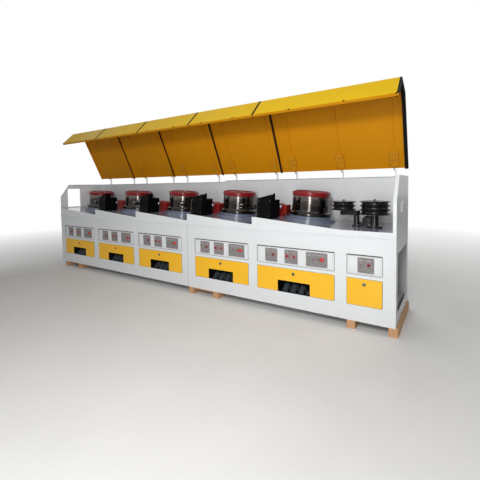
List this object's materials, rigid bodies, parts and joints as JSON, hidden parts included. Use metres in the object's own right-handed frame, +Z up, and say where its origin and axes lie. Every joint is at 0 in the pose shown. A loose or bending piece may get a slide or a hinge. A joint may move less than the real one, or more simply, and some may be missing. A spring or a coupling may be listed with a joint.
{
  "type": "wire drawing machine",
  "caption": "Straight-line wire drawing machine: spinning drums in a row on a sloping deck with die boxes and outlet pulleys, in a long cabinet with lifting lids, on timber bearers.",
  "frame": {"origin": "on the ground, under the timbers, at the centre of the bounding box in X and Y", "axes": "+X along the line in the direction the wire takes, +Y from the front with the controls to the back wall with the lid hinges, +Z up"},
  "size_m": [6.486, 1.0994, 2.7933],
  "materials": {
    "white_paint": "semi-gloss powder coat",
    "door_yellow": "semi-gloss powder coat",
    "lid_yellow": "semi-gloss powder coat",
    "deck_blue": "satin paint",
    "collar_red": "gloss enamel",
    "polished_steel": "polished by the wire",
    "guide_red": "satin paint",
    "black_paint": "semi-gloss paint",
    "grey_paint": "satin paint",
    "timber": "sawn softwood"
  },
  "bodies": {
    "cabinet": {"left_front_panel": "white_paint", "left_control_panel": "white_paint", "left_end_panel": "white_paint", "left_back_wall": "white_paint", "left_base_frame": "white_paint", "left_deck": "deck_blue", "right_front_panel": "white_paint", "right_control_panel": "white_paint", "right_end_panel": "white_paint", "right_back_wall": "white_paint", "right_base_frame": "white_paint", "right_deck": "deck_blue", "door_1": "door_yellow", "door_2": "door_yellow", "door_3": "door_yellow", "door_4": "door_yellow", "door_5": "door_yellow", "door_6": "door_yellow", "pedal_unit_1": "grey_paint", "pedal_unit_2": "grey_paint", "pedal_unit_3": "grey_paint", "pedal_unit_4": "grey_paint", "pedal_unit_5": "grey_paint", "die_box_1": "black_paint", "die_box_2": "black_paint", "die_box_3": "black_paint", "die_box_4": "black_paint", "guide_box_1": "guide_red", "guide_box_2": "guide_red", "guide_box_3": "guide_red", "guide_box_4": "guide_red", "pulley_column": "black_paint", "arm_post": "black_paint", "timber_1": "timber", "timber_2": "timber", "timber_3": "timber", "timber_4": "timber", "timber_pair": "timber"},
    "lid_1": {"lid_1": "lid_yellow"},
    "lid_2": {"lid_2": "lid_yellow"},
    "lid_3": {"lid_3": "lid_yellow"},
    "lid_4": {"lid_4": "lid_yellow"},
    "lid_5": {"lid_5": "lid_yellow"},
    "drum_1": {"drum_1": "polished_steel", "drum_collar_1": "collar_red"},
    "drum_2": {"drum_2": "polished_steel", "drum_collar_2": "collar_red"},
    "drum_3": {"drum_3": "polished_steel", "drum_collar_3": "collar_red"},
    "drum_4": {"drum_4": "polished_steel", "drum_collar_4": "collar_red"},
    "drum_5": {"drum_5": "polished_steel", "drum_collar_5": "collar_red"},
    "swing_arm": {"swing_arm": "grey_paint"},
    "small_pulley": {"small_pulley": "black_paint"},
    "large_pulley": {"large_pulley": "black_paint"}
  },
  "joints": [
    {"name": "lid_1_hinge", "type": "hinge", "parent": "cabinet", "child": "lid_1", "pos_m": [-2.65581, 0.53565, 1.804], "axis": [1, 0, 0], "range_deg": [0, 65]},
    {"name": "lid_2_hinge", "type": "hinge", "parent": "cabinet", "child": "lid_2", "pos_m": [-1.4734, 0.53565, 1.804], "axis": [1, 0, 0], "range_deg": [0, 65]},
    {"name": "lid_3_hinge", "type": "hinge", "parent": "cabinet", "child": "lid_3", "pos_m": [-0.29035, 0.53565, 1.804], "axis": [1, 0, 0], "range_deg": [0, 65]},
    {"name": "lid_4_hinge", "type": "hinge", "parent": "cabinet", "child": "lid_4", "pos_m": [0.86879, 0.53565, 1.804], "axis": [1, 0, 0], "range_deg": [0, 65]},
    {"name": "lid_5_hinge", "type": "hinge", "parent": "cabinet", "child": "lid_5", "pos_m": [2.33007, 0.53565, 1.804], "axis": [1, 0, 0], "range_deg": [0, 65]},
    {"name": "drum_1_spin", "type": "hinge", "parent": "cabinet", "child": "drum_1", "pos_m": [-2.67552, 0.03765, 1.15964], "axis": [0.0832, 0, 0.9965], "continuous": true},
    {"name": "drum_2_spin", "type": "hinge", "parent": "cabinet", "child": "drum_2", "pos_m": [-1.47599, 0.03765, 1.15926], "axis": [0.0873, 0, 0.9962], "continuous": true},
    {"name": "drum_3_spin", "type": "hinge", "parent": "cabinet", "child": "drum_3", "pos_m": [-0.28679, 0.03765, 1.15765], "axis": [0.0862, 0, 0.9963], "continuous": true},
    {"name": "drum_4_spin", "type": "hinge", "parent": "cabinet", "child": "drum_4", "pos_m": [0.88107, 0.03765, 1.15735], "axis": [0.0884, 0, 0.9961], "continuous": true},
    {"name": "drum_5_spin", "type": "hinge", "parent": "cabinet", "child": "drum_5", "pos_m": [2.05281, 0.03765, 1.15645], "axis": [0.0866, 0, 0.9962], "continuous": true},
    {"name": "swing_arm_pivot", "type": "hinge", "parent": "cabinet", "child": "swing_arm", "pos_m": [2.70299, -0.0463, 1.302], "axis": [0, 0, 1], "range_deg": [-20, 20]},
    {"name": "small_pulley_spin", "type": "hinge", "parent": "swing_arm", "child": "small_pulley", "pos_m": [2.54299, -0.0463, 1.302], "axis": [0, 0, 1], "continuous": true},
    {"name": "large_pulley_spin", "type": "hinge", "parent": "cabinet", "child": "large_pulley", "pos_m": [2.92596, -0.1143, 1.261], "axis": [0, 0, 1], "continuous": true}
  ]
}
